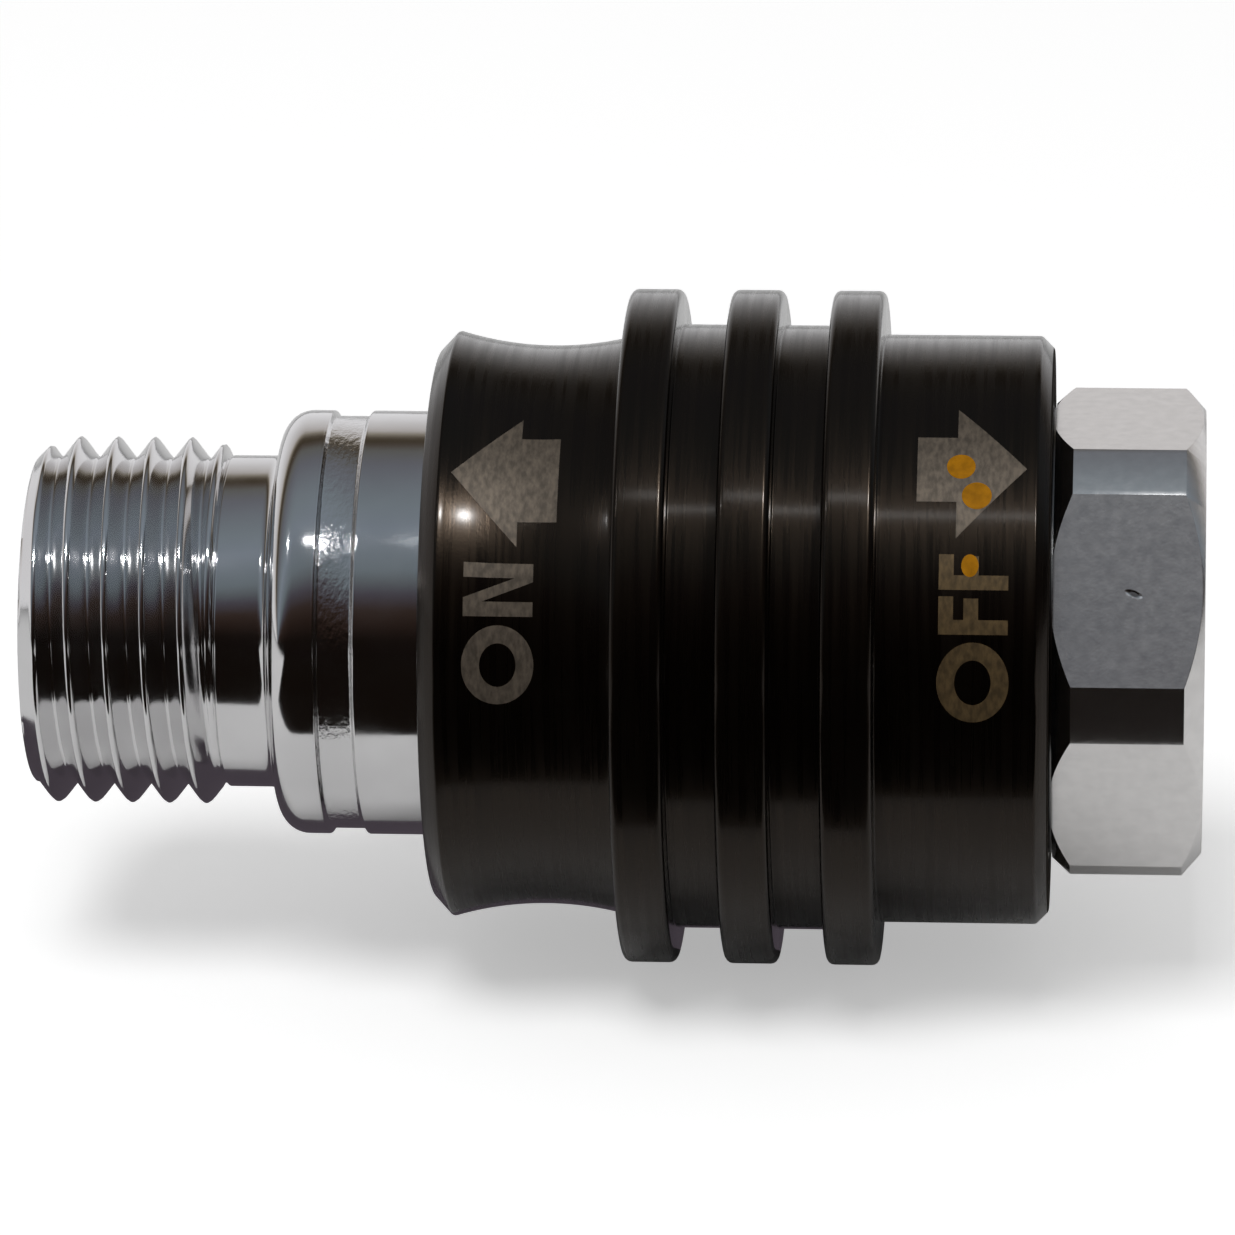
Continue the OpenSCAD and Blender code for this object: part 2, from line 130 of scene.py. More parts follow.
class MarkSizes(bpy.types.PropertyGroup):
    """Lettering, arrows and dots on the sleeve. Angles are counted upwards from the front."""
    cap_height: length("Letter height", "Height of the letters", 2.4)
    overshoot: length("Overshoot", "How far the round letter stands out at its head and foot", 0.05)
    stroke: length("Stroke", "Width of the round letter's stroke", 0.62)
    stem: length("Stem", "Width of the straight letters' strokes", 0.51)
    on_from: length("ON place", "From the mouth to the foot of the letters", 4.05)
    on_angle: angle("ON angle", "Where the first letter starts", 3.9)
    on_arrow_from: length("ON arrow place", "From the mouth to the arrow's tail", 4.8)
    on_arrow_angle: angle("ON arrow angle", "Middle of the arrow", 50.4)
    off_from: length("OFF place", "From the barrel's end to the foot of the letters", 1.4)
    off_angle: angle("OFF angle", "Where the first letter starts", 2.2)
    off_arrow_from: length("OFF arrow place", "From the barrel's end to the arrow's tail", 4.62)
    off_arrow_angle: angle("OFF arrow angle", "Middle of the arrow", 52)
    dot_size: length("Dot", "Diameter of the first amber dot on the off arrow", 1)
    raise_by: length("Relief", "Height of the marks above the sleeve", 0.008)
    thickness: length("Thickness", "Thickness of the marks, most of it below the surface", 0.03)


class PlugSizes(bpy.types.PropertyGroup):
    """Turned and threaded shape of the plug."""
    thread_pitch: length("Thread pitch", "Pitch of both pipe threads", 1.337)
    thread_length: length("Thread length", "Length of the male thread", 6.9)
    root_radius: length("Root radius", "Radius at the bottom of the male thread", 5.83)
    neck_radius: length("Neck radius", "Radius of the neck", 5.95)
    neck_length: length("Neck length", "Length of the neck", 2)
    neck_fillet: length("Neck fillet", "Fillet between the neck and the collar", 0.4)
    collar_length: length("Collar length", "Length of the collar", 5.8)
    collar_edge: length("Collar edge", "Radius on the front edge of the collar", 1)
    groove_inset: length("Groove place", "From the back of the collar to its groove", 2.65)
    groove_width: length("Groove width", "Width of the collar's groove", 1.4)
    groove_depth: length("Groove depth", "Depth of the collar's groove", 0.2)
    groove_slope: length("Groove slope", "How far each wall of the groove leans", 0.12)
    probe_radius: length("Probe radius", "Radius of the probe", 4.6)
    bore_radius: length("Bore radius", "Radius of the plug's bore", 3)
    ball_groove: length("Ball groove", "Radius of the groove's round section", 1.55)
    ball_circle: length("Ball circle", "Radius of the circle that the locked balls lie on", 5.35)


class AdapterSizes(bpy.types.PropertyGroup):
    """Wrench end with the female port and the guide."""
    turned_radius: length("Turned radius", "Radius of the wrench end before its flats", 8.7)
    end_length: length("Wrench end length", "Length of the wrench end", 5.3)
    back_length: length("Open end chamfer", "Length of the chamfer at the open end", 0.7)
    back_depth: length("Open end depth", "Depth of the chamfer at the open end", 0.8)
    front_length: length("Inner chamfer", "Length of the chamfer beside the sleeve", 0.65)
    front_depth: length("Inner depth", "Depth of the chamfer beside the sleeve", 0.6)
    guide_radius: length("Guide radius", "Radius of the guide", 7.95)
    mouth_chamfer: length("Port countersink", "Size of the countersink of the port", 1)
    web_at: length("Port depth", "Depth of the port", 8.3)
    web_thickness: length("Web", "Thickness of the web behind the port", 0.7)
    web_hole: length("Web hole", "Radius of the hole in the web", 5.2)
    chamber_radius: length("Chamber radius", "Radius of the valve chamber", 5.75)
    joint_radius: length("Joint radius", "Radius of the screwed joint", 7)
    joint_length: length("Joint length", "Length of the screwed joint", 2.8)
    thread_root: length("Female thread root", "Radius at the bottom of the female thread", 6.5)


class FinishColours(bpy.types.PropertyGroup):
    """Base colours of the finishes."""
    bright_plate: colour("Bright plate", "Plug, thread and collar", (0.74, 0.735, 0.74))
    satin_plate: colour("Satin plate", "Wrench end", (0.81, 0.795, 0.785))
    anodised: colour("Anodised black", "Sleeve", (0.0012, 0.0008, 0.0006))
    sheen: colour("Anodised sheen", "Tint of the reflections on the sleeve", (1, 0.72, 0.5))
    etched: colour("Etched mark", "Word ON and the arrows", (0.13, 0.104, 0.078))
    golden: colour("Golden mark", "Word OFF", (0.122, 0.079, 0.033))
    amber: colour("Amber dots", "Dots on the off arrow", (0.36, 0.15, 0.003))
    brass: colour("Brass", "Socket, valve and spring disc", (0.66, 0.5, 0.24))
    steel: colour("Steel", "Spring, rings and balls", (0.5, 0.5, 0.52))
    rubber: colour("Rubber", "Seals", (0.02, 0.02, 0.022))
    plastic: colour("Plastic", "Backup ring", (0.82, 0.81, 0.78))
    gasket: colour("Gasket", "Fibre gasket", (0.1, 0.16, 0.13))


class StudioSettings(bpy.types.PropertyGroup):
    """Camera, floor and light."""
    yaw: angle("Camera yaw", "Turn of the camera towards the wrench end", 4)
    elevation: angle("Camera elevation", "Height of the camera above the horizon", 20)
    roll: angle("Camera roll", "Tilt of the camera about its own axis", -0.7)
    distance: length("Camera distance", "From the coupler to the camera", 289)
    lens: bpy.props.FloatProperty(name="Lens", description="Focal length", default=235, min=20)
    shift: bpy.props.FloatVectorProperty(
        name="Shift", description="Shift of the camera's frame", default=(-0.0012, 0.0061), size=2)
    floor: colour("Floor", "Colour of the floor", (0.93, 0.93, 0.93))
    fill: bpy.props.FloatProperty(
        name="Fill", description="Strength of the soft light from all round", default=0.3, min=0)
    lamp_share: bpy.props.FloatProperty(
        name="Lamps", description="Share of every lamp's power", default=1, min=0)


# ---------------------------------------------------------------- shaping tools

def arc(middle, radius, start, end, steps):
    """Points of an arc in the outline's plane, with its angles in degrees."""
    points = []
    for step in range(steps + 1):
        turn = math.radians(start + (end - start) * step / steps)
        points.append((middle[0] + radius * math.cos(turn), middle[1] + radius * math.sin(turn)))
    return points


def turn_outline(mesh, outline, closed=True):
    """Turns an outline round the axis."""
    points = [mesh.verts.new((x, 0, radius)) for x, radius in outline]
    pairs = list(zip(points, points[1:]))
    if closed:
        pairs.append((points[-1], points[0]))
    edges = [mesh.edges.new(pair) for pair in pairs]
    bmesh.ops.spin(
        mesh, geom=points + edges, cent=(0, 0, 0), axis=(1, 0, 0), dvec=(0, 0, 0),
        angle=FULL_TURN, steps=TURN_STEPS, use_merge=True)


def soften(mesh, width, segments=3):
    """Rounds every sharp edge."""
    limit = math.radians(28)
    sharp = [edge for edge in mesh.edges if edge.is_manifold and edge.calc_face_angle(0) > limit]
    bmesh.ops.bevel(
        mesh, geom=sharp, offset=width, offset_type="OFFSET", segments=segments,
        profile=0.5, affect="EDGES", clamp_overlap=True, material=-1)


def thread_form(place):
    """Height of a rounded V thread, from 0 at the root to 1 at the crest, over one pitch."""
    sharpness = 0.965
    return 0.5 - 0.5 * math.asin(sharpness * math.cos(FULL_TURN * place)) / math.asin(sharpness)


def cut_plane(mesh, place, normal, drop=True):
    """Cuts along a plane and may drop what lies on the normal's side. Returns the cut."""
    everything = mesh.verts[:] + mesh.edges[:] + mesh.faces[:]
    cut = bmesh.ops.bisect_plane(
        mesh, geom=everything, dist=NEAR, plane_co=place, plane_no=normal, clear_outer=drop)
    return cut["geom_cut"]


def cut_thread(mesh, start, end, root, crest, pitch, shift, limit):
    """Adds the open skin of a right-hand thread, shifted along the axis.
    limit(x, radius) gives the radius that stays."""
    rows = 16
    turns = math.ceil((end - start) / pitch) + 3
    first = start - 2 * pitch + shift
    points = []
    for row in range(turns * rows + 1):
        radius = root + (crest - root) * thread_form(row / rows)
        points.append(mesh.verts.new((first + row * pitch / rows, 0, radius)))
    edges = [mesh.edges.new(pair) for pair in zip(points, points[1:])]
    bmesh.ops.spin(
        mesh, geom=points + edges, cent=(0, 0, 0), axis=(1, 0, 0),
        dvec=(pitch / TURN_STEPS, 0, 0), angle=FULL_TURN, steps=TURN_STEPS, use_merge=False)
    bmesh.ops.remove_doubles(mesh, verts=mesh.verts, dist=20 * NEAR)
    for vert in mesh.verts:
        radius = math.hypot(vert.co.y, vert.co.z)
        kept = limit(vert.co.x, radius)
        vert.co.y *= kept / radius
        vert.co.z *= kept / radius
    cut_plane(mesh, (start, 0, 0), (-1, 0, 0))
    cut_plane(mesh, (end, 0, 0), (1, 0, 0))


def rim(mesh, place):
    """The open edges that lie in the plane x = place."""
    return [edge for edge in mesh.edges
            if edge.is_boundary and all(abs(vert.co.x - place) < 10 * NEAR for vert in edge.verts)]


def bridge(mesh, place_a, place_b):
    """Closes the gap between two open rims."""
    bmesh.ops.bridge_loops(mesh, edges=rim(mesh, place_a) + rim(mesh, place_b))


def absorb(mesh, other):
    """Moves another bmesh's geometry into this one."""
    data = bpy.data.meshes.new("part")
    other.to_mesh(data)
    other.free()
    mesh.from_mesh(data)
    bpy.data.meshes.remove(data)


def new_object(name, data):
    """New object in the scene."""
    thing = bpy.data.objects.new(name, data)
    bpy.context.scene.collection.objects.link(thing)
    return thing


def mesh_object(name, mesh, material):
    """Turns a bmesh into an object."""
    data = bpy.data.meshes.new(name)
    mesh.to_mesh(data)
    mesh.free()
    data.materials.append(material)
    return new_object(name, data)


def make_piece(name, mesh, body, material, stands_for=(), weighted=True):
    """Turns a bmesh into a smooth piece that rides on a body. Without weighted normals,
    edges sharper than a crease stay sharp."""
    crease = math.radians(40)
    bmesh.ops.remove_doubles(mesh, verts=mesh.verts, dist=NEAR)
    bmesh.ops.recalc_face_normals(mesh, faces=mesh.faces)
    for face in mesh.faces:
        face.smooth = True
    if not weighted:
        for edge in mesh.edges:
            edge.smooth = edge.calc_face_angle(0) < crease
    piece = mesh_object(name, mesh, material)
    if weighted:
        normals = piece.modifiers.new("Even shading", "WEIGHTED_NORMAL")
        normals.weight = 50
        normals.keep_sharp = True
    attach(piece, body)
    if stands_for:
        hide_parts(*stands_for)


# ---------------------------------------------------------------- finishes

def feed(tree, node, inputs):
    """Links sockets to a node's inputs, and sets the inputs that are given values."""
    for key, value in inputs.items():
        if isinstance(value, bpy.types.NodeSocket):
            tree.links.new(value, node.inputs[key])
        else:
            node.inputs[key].default_value = value


def add_node(tree, kind, inputs=None, **settings):
    """New node with settings and inputs."""
    node = tree.nodes.new(kind)
    for name, value in settings.items():
        setattr(node, name, value)
    feed(tree, node, inputs or {})
    return node


def math_node(tree, operation, *values):
    """Result of a sum on numbers and sockets."""
    return add_node(tree, "ShaderNodeMath", dict(enumerate(values)), operation=operation).outputs[0]


def shade(value, share):
    """A colour made lighter or darker."""
    return [min(1, part * share) for part in value]


class Finish:
    """A material whose shader is fed by a few procedural textures."""

    def __init__(self, name, base, metallic, roughness):
        self.base = base
        self.material = bpy.data.materials.new(name)
        self.material.use_nodes = True
        self.tree = self.material.node_tree
        self.shader = self.tree.nodes["Principled BSDF"]
        self.feed({"Base Color": (*base, 1), "Metallic": metallic, "Roughness": roughness})
        coordinates = self.add("ShaderNodeTexCoord").outputs
        self.place, self.normal = coordinates["Object"], coordinates["Normal"]

    def add(self, kind, inputs=None, **settings):
        """New node in this material."""
        return add_node(self.tree, kind, inputs, **settings)

    def feed(self, inputs):
        """Links or sets inputs of the shader."""
        feed(self.tree, self.shader, inputs)

    def source(self, key):
        """The socket that feeds an input of the shader."""
        return self.shader.inputs[key].links[0].from_socket

    def noise(self, scale, detail, stretch=(1, 1, 1)):
        """Noise whose scale counts spots per millimetre, stretched along each axis."""
        scales = [scale / MM * share for share in stretch]
        mapping = self.add("ShaderNodeMapping", {"Vector": self.place, "Scale": scales})
        inputs = {"Vector": mapping.outputs["Vector"], "Scale": 1, "Detail": detail}
        return self.add("ShaderNodeTexNoise", inputs).outputs["Fac"]

    def spread(self, value, low, high, start=0.3, end=0.7):
        """Maps a texture's middle range onto low to high."""
        inputs = {"Value": value, "From Min": start, "From Max": end, "To Min": low, "To Max": high}
        return self.add("ShaderNodeMapRange", inputs).outputs["Result"]

    def times(self, value, other):
        """Product of two textures."""
        return math_node(self.tree, "MULTIPLY", value, other)

    def facing_side(self, start, end):
        """0 on round faces, rising to 1 on faces square to the axis."""
        along = self.add("ShaderNodeSeparateXYZ", {"Vector": self.normal}).outputs["X"]
        return self.spread(math_node(self.tree, "ABSOLUTE", along), 0, 1, start, end)

    def within(self, low, high):
        """1 between two places along the axis, and 0 past them."""
        edge = 0.08 * MM
        along = self.add("ShaderNodeSeparateXYZ", {"Vector": self.place}).outputs["X"]
        rise = self.spread(along, 0, 1, low - edge, low + edge)
        return self.times(rise, self.spread(along, 1, 0, high - edge, high + edge))

    def seen_shallow(self):
        """0 where the surface is seen straight on, rising to 1 at its outline."""
        return self.add("ShaderNodeLayerWeight", {"Blend": 0.5}).outputs["Facing"]

    def spot(self, centre, turn, size):
        """1 at a small oval place turned about Y, falling to 0 at its rim."""
        inputs = {"Vector": self.place, "Location": centre, "Rotation": (0, turn, 0), "Scale": size}
        mapping = self.add("ShaderNodeMapping", inputs, vector_type="TEXTURE")
        reach = self.add("ShaderNodeVectorMath", {0: mapping.outputs["Vector"]}, operation="LENGTH")
        return self.spread(reach.outputs["Value"], 1, 0, 0.5, 1)

    def colour(self, factor, first, second, blend):
        """Feeds the base colour with a mix of two colours."""
        inputs = {"Factor": factor, "A": first, "B": second}
        mix = self.add("ShaderNodeMix", inputs, data_type="RGBA", blend_type=blend)
        self.feed({"Base Color": mix.outputs["Result"]})

    def tint(self, value, low, high):
        """Lets the colour wander between two shares of the base colour."""
        dark, light = ((*shade(self.base, share), 1) for share in (low, high))
        self.colour(self.spread(value, 0, 1, 0.35, 0.65), dark, light, "MIX")

    def darken(self, mask, share):
        """Leaves only a share of the base colour where the mask is 1."""
        self.colour(mask, self.source("Base Color"), (share, share, share, 1), "MULTIPLY")

    def roughen(self, value, low, high):
        """Lets the roughness wander between two values."""
        self.feed({"Roughness": self.spread(value, low, high)})

    def matt(self, mask):
        """Raises the roughness to full where the mask is 1."""
        self.feed({"Roughness": math_node(self.tree, "MAXIMUM", self.source("Roughness"), mask)})

    def bump(self, value, depth):
        """Adds relief of a depth in millimetres on top of any relief there is."""
        inputs = {"Height": value, "Strength": 1, "Distance": depth * MM}
        if self.shader.inputs["Normal"].is_linked:
            inputs["Normal"] = self.source("Normal")
        self.feed({"Normal": self.add("ShaderNodeBump", inputs).outputs["Normal"]})


def bright_plate_finish(colours, scuffed_from, scuffed_to):
    """Bright plating with faint clouding, and scuffs along one band of the collar."""
    finish = Finish("bright_plate", colours.bright_plate, 1, 0.1)
    finish.roughen(finish.noise(0.6, 5), 0.07, 0.14)
    finish.tint(finish.noise(0.35, 3), 0.93, 1)
    finish.bump(finish.noise(8, 3, (1, 0.02, 0.02)), 0.0006)
    finish.bump(finish.noise(2.2, 4), 0.0014)
    scuffs = finish.times(finish.noise(6, 7, (1, 0.6, 0.6)), finish.within(scuffed_from, scuffed_to))
    finish.bump(scuffs, 0.024)
    return finish.material


def satin_plate_finish(colours, painted_shade_from, painted_shade_to):
    """Satin plating over milled and turned faces, with painted shade in the corner beside the sleeve,
    and one small slanted dent in the flat that faces forwards, a bump darkened with painted shade."""
    dent_place = Vector((18.42, -6.98, 3.91)) * MM
    dent_size = Vector((0.34, 0.2, 0.12)) * MM
    dent_turn = math.radians(20)
    finish = Finish("satin_plate", colours.satin_plate, 1, 0.26)
    finish.roughen(finish.noise(3, 5), 0.21, 0.25)
    finish.tint(finish.noise(2, 5), 0.93, 1)
    # Painted shade: the base colour is nearly black in the corner between the sleeve's end and the
    # shoulder.
    finish.darken(finish.within(painted_shade_from, painted_shade_to), 0.02)
    finish.bump(finish.noise(5, 4, (1, 0.06, 0.06)), 0.002)
    finish.bump(finish.noise(9, 5), 0.002)
    dent_and_painted_shade = finish.spot(dent_place, dent_turn, dent_size)
    # Painted shade: the dent's colour is darkened as if it lay in shade; its relief is the bump below.
    finish.darken(finish.spread(dent_and_painted_shade, 0, 1, 0.4, 1), 0.4)
    finish.bump(dent_and_painted_shade, -0.05)
    return finish.material


def anodised_finish(colours, end_face_at):
    """Brown-black anodising over turning marks, with small pits and a matt end face."""
    finish = Finish("black_anodised", colours.anodised, 0, 0.28)
    finish.feed({
        "Specular IOR Level": 0.23, "Specular Tint": (*colours.sheen, 1), "Coat Roughness": 0.14})
    before, past = 0.12 * MM, 0.3 * MM
    beside_end = finish.within(end_face_at - before, end_face_at + past)
    end_face = finish.times(finish.facing_side(0.72, 0.85), beside_end)
    coat = finish.spread(finish.seen_shallow(), 0.2, 1, 0.58, 0.85)
    finish.feed({"Coat Weight": finish.times(coat, finish.spread(end_face, 1, 0, 0, 1))})
    finish.roughen(finish.noise(4, 4, (1, 0.03, 0.03)), 0.17, 0.4)
    finish.matt(end_face)
    finish.tint(finish.noise(0.6, 5), 0.75, 1.2)
    finish.bump(finish.noise(7, 3, (1, 0.015, 0.015)), 0.006)
    finish.bump(finish.noise(11, 5), 0.004)
    return finish.material


def etched_finish(name, base):
    """Pale etched mark, mottled by the turning marks under it."""
    finish = Finish(name, base, 0.5, 0.5)
    finish.tint(finish.noise(6, 6, (1, 0.5, 0.5)), 0.6, 1.15)
    finish.bump(finish.noise(9, 4, (1, 0.1, 0.1)), 0.003)
    return finish.material


def amber_finish(colours):
    """Amber paint."""
    finish = Finish("amber_paint", colours.amber, 0, 0.5)
    finish.feed({"Specular IOR Level": 0.05})
    finish.tint(finish.noise(3, 4), 0.8, 1.15)
    finish.bump(finish.noise(4, 4), 0.004)
    return finish.material


def metal_finish(name, base, roughness):
    """Turned metal of an inner piece."""
    finish = Finish(name, base, 1, roughness)
    finish.roughen(finish.noise(1.5, 4), roughness * 0.8, roughness * 1.3)
    finish.tint(finish.noise(0.8, 4), 0.85, 1)
    finish.bump(finish.noise(6, 3, (1, 0.03, 0.03)), 0.003)
    return finish.material


def soft_finish(name, base, roughness):
    """Rubber, plastic or fibre of an inner piece."""
    finish = Finish(name, base, 0, roughness)
    finish.tint(finish.noise(2.5, 5), 0.8, 1.15)
    finish.bump(finish.noise(8, 5), 0.004)
    return finish.material


# ---------------------------------------------------------------- sleeve

def waist_arc(sizes):
    """Middle (x, radius) and radius of the arc that hollows the waist."""
    reach = sizes.waist_inset - sizes.mouth_length
    rise = sizes.flare_radius - sizes.waist_radius
    radius = (reach ** 2 + rise ** 2) / (2 * rise)
    return (SLEEVE_LOW.x + sizes.waist_inset, sizes.waist_radius + radius), radius


def waist_radius_at(sizes, x):
    """Radius of the waist at a place along the axis."""
    (middle_x, middle_radius), radius = waist_arc(sizes)
    return middle_radius - math.sqrt(radius ** 2 - (x - middle_x) ** 2)


def rib_outline(sizes, start, foot_before, foot_after):
    """Outline of one grip rib, from its front foot to its rear foot."""
    top = SLEEVE_HIGH.z
    edge = sizes.rib_edge
    end = start + sizes.rib_width
    front_edge = arc((start + edge, top - edge), edge, 180, 90, 4)
    rear_edge = arc((end - edge, top - edge), edge, 90, 0, 4)
    return [(start, foot_before)] + front_edge + rear_edge + [(end, foot_after)]


def sleeve_outside(sizes):
    """Outline of the sleeve from the mouth to the barrel's end."""
    front, back = SLEEVE_LOW.x, SLEEVE_HIGH.x
    waist_end = front + sizes.waist_length
    outline = [(front, sizes.flare_radius - sizes.mouth_depth)]
    steps = 24
    for step in range(steps + 1):
        x = front + sizes.mouth_length + (sizes.waist_length - sizes.mouth_length) * step / steps
        outline.append((x, waist_radius_at(sizes, x)))
    outline.pop()
    for index in range(sizes.rib_count):
        before = waist_radius_at(sizes, waist_end) if index == 0 else sizes.valley_radius
        after = sizes.barrel_radius if index == sizes.rib_count - 1 else sizes.valley_radius
        outline += rib_outline(sizes, waist_end + index * sizes.rib_pitch, before, after)
    chamfer = sizes.barrel_chamfer
    return outline + [(back - chamfer, sizes.barrel_radius), (back, sizes.barrel_radius - chamfer)]


def sleeve_inside(sizes):
    """Outline of the bore from the barrel's end to the mouth."""
    front, back = SLEEVE_LOW.x, SLEEVE_HIGH.x
    edge, sink = 0.3 * MM, 0.07 * MM
    wire = (DETENT_HIGH.x - DETENT_LOW.x) / 2
    detent_at = (DETENT_HIGH.x + DETENT_LOW.x) / 2
    outline = [(back, sizes.guide_bore + edge), (back - edge, sizes.guide_bore)]
    for at in (detent_at + sizes.travel, detent_at):
        outline += arc((at, sizes.guide_bore - sink), wire, 15, 165, 8)
    return outline + [
        (front + sizes.land_to, sizes.guide_bore), (front + sizes.land_to, sizes.land_bore),
        (front + sizes.land_from, sizes.land_bore), (front + sizes.ramp_from, sizes.mouth_bore),
        (front + edge, sizes.mouth_bore), (front, sizes.mouth_bore + edge)]


class COUPLER_OT_sleeve(bpy.types.Operator):
    """Turn the black sleeve with its grip ribs, waist and ball ramp"""
    bl_idname = "coupler.sleeve"
    bl_label = "Sleeve"

    def execute(self, context):
        sizes = context.scene.coupler_sleeve
        broken_edge = 0.07 * MM
        mesh = bmesh.new()
        turn_outline(mesh, sleeve_outside(sizes) + sleeve_inside(sizes))
        soften(mesh, broken_edge)
        finish = anodised_finish(context.scene.coupler_colours, SLEEVE_HIGH.x)
        make_piece("turned_sleeve", mesh, "sleeve", finish, ["sleeve"])
        return {"FINISHED"}


# ---------------------------------------------------------------- marks

def flat_outline(mesh, corners):
    """Fills a flat outline of (across, up) points."""
    mesh.faces.new([mesh.verts.new((across, up, 0)) for across, up in corners])


def oval(mesh, across, up, wide, high, filled, steps):
    """Oval round a middle point."""
    ring = bmesh.ops.create_circle(mesh, cap_ends=filled, radius=0.5, segments=steps)["verts"]
    bmesh.ops.scale(mesh, verts=ring, vec=(wide, high, 1))
    bmesh.ops.translate(mesh, verts=ring, vec=(across, up, 0))


def letter_o(mesh, across, width, sizes):
    """Ring of the letter O, which stands out a little at its head and foot."""
    height = sizes.cap_height
    for inset in (0, sizes.stroke):
        wide, high = width - 2 * inset, height + 2 * (sizes.overshoot - inset)
        oval(mesh, across + width / 2, height / 2, wide, high, False, 48)
    bmesh.ops.bridge_loops(mesh, edges=[edge for edge in mesh.edges if edge.is_wire])


def letter_n(mesh, across, width, sizes):
    """Stems and diagonal of the letter N."""
    height, stem = sizes.cap_height, sizes.stem
    slant = stem * 1.25
    corners = [
        (0, 0), (stem, 0), (stem, height - slant), (width - slant, 0), (width, 0),
        (width, height), (width - stem, height), (width - stem, slant), (slant, height), (0, height)]
    flat_outline(mesh, [(across + x, y) for x, y in corners])


def letter_f(mesh, across, width, sizes):
    """Stem and arms of the letter F."""
    height, stem = sizes.cap_height, sizes.stem
    arm, reach = height * 0.64, width * 0.95
    corners = [
        (0, 0), (stem, 0), (stem, arm - stem), (reach, arm - stem), (reach, arm),
        (stem, arm), (stem, height - stem), (width, height - stem), (width, height), (0, height)]
    flat_outline(mesh, [(across + x, y) for x, y in corners])


def word(letters, sizes):
    """A word as a flat shape. Each letter has its place and width in shares of the height."""
    mesh = bmesh.new()
    for letter, across, width in letters:
        letter(mesh, across * sizes.cap_height, width * sizes.cap_height, sizes)
    return mesh


def arrow(shape):
    """Block arrow as a flat shape that points up, with the middle of its tail at the origin."""
    mesh = bmesh.new()
    long, barb, head, shaft = (value * MM for value in shape)
    flat_outline(mesh, [
        (0, long), (-head, barb), (-shaft, barb), (-shaft, 0), (shaft, 0), (shaft, barb), (head, barb)])
    return mesh


def dots(places, size):
    """Round or oval dots as a flat shape. Each has its middle and its two widths in sizes."""
    mesh = bmesh.new()
    for dot in places:
        oval(mesh, *(share * size for share in dot), True, 32)
    return mesh


def slice_flat(mesh):
    """Cuts a flat shape into small cells, so that it can follow a round surface."""
    step = 0.15 * MM
    mesh.normal_update()
    bmesh.ops.triangulate(mesh, faces=mesh.faces)
    for axis in (0, 1):
        places = [vert.co[axis] for vert in mesh.verts]
        normal = Vector((1 - axis, axis, 0))
        for index in range(math.floor(min(places) / step), math.ceil(max(places) / step)):
            cut_plane(mesh, normal * index * step, normal, drop=False)


def wrap(mesh, foot_x, start_angle, radius_at, lift, thickness, towards):
    """Lays a flat shape on the sleeve and gives it a thickness. Its up side is towards the
    mouth (-1) or the barrel's end (1)."""
    slice_flat(mesh)
    reach = radius_at(foot_x)
    for vert in mesh.verts:
        x = foot_x + towards * vert.co.y
        turn = start_angle + vert.co.x / reach
        radius = radius_at(x) + lift
        vert.co = (x, -radius * math.cos(turn), radius * math.sin(turn))
    bmesh.ops.recalc_face_normals(mesh, faces=mesh.faces)
    for face in mesh.faces:
        outward = face.calc_center_median()
        if face.normal.dot(Vector((0, outward.y, outward.z))) < 0:
            face.normal_flip()
    bmesh.ops.solidify(mesh, geom=mesh.faces, thickness=thickness)


# Each letter's shape, and its place and width in shares of the letters' height.
ON_LETTERS = ((letter_o, 0, 1.15), (letter_n, 1.275, 0.77))
OFF_LETTERS = ((letter_o, 0, 1.17), (letter_f, 1.28, 0.55), (letter_f, 1.925, 0.52))

# Each arrow in millimetres: tail to tip, tail to barbs, half the head and half the shaft.
ON_ARROW = (3.72, 1.36, 2.615, 1.7)
OFF_ARROW = (3.8, 1.38, 2.68, 1.325)

# Each dot's middle (across, up) and its two widths in dot sizes: the first are counted from
# the off arrow's tail, and the smudge from the foot of the word OFF.
ARROW_DOTS = ((0.08, 1.52, 1, 1), (-1.08, 2.08, 1.04, 1.04))
SMUDGE = ((5.472, 1.332, 0.8, 0.6),)


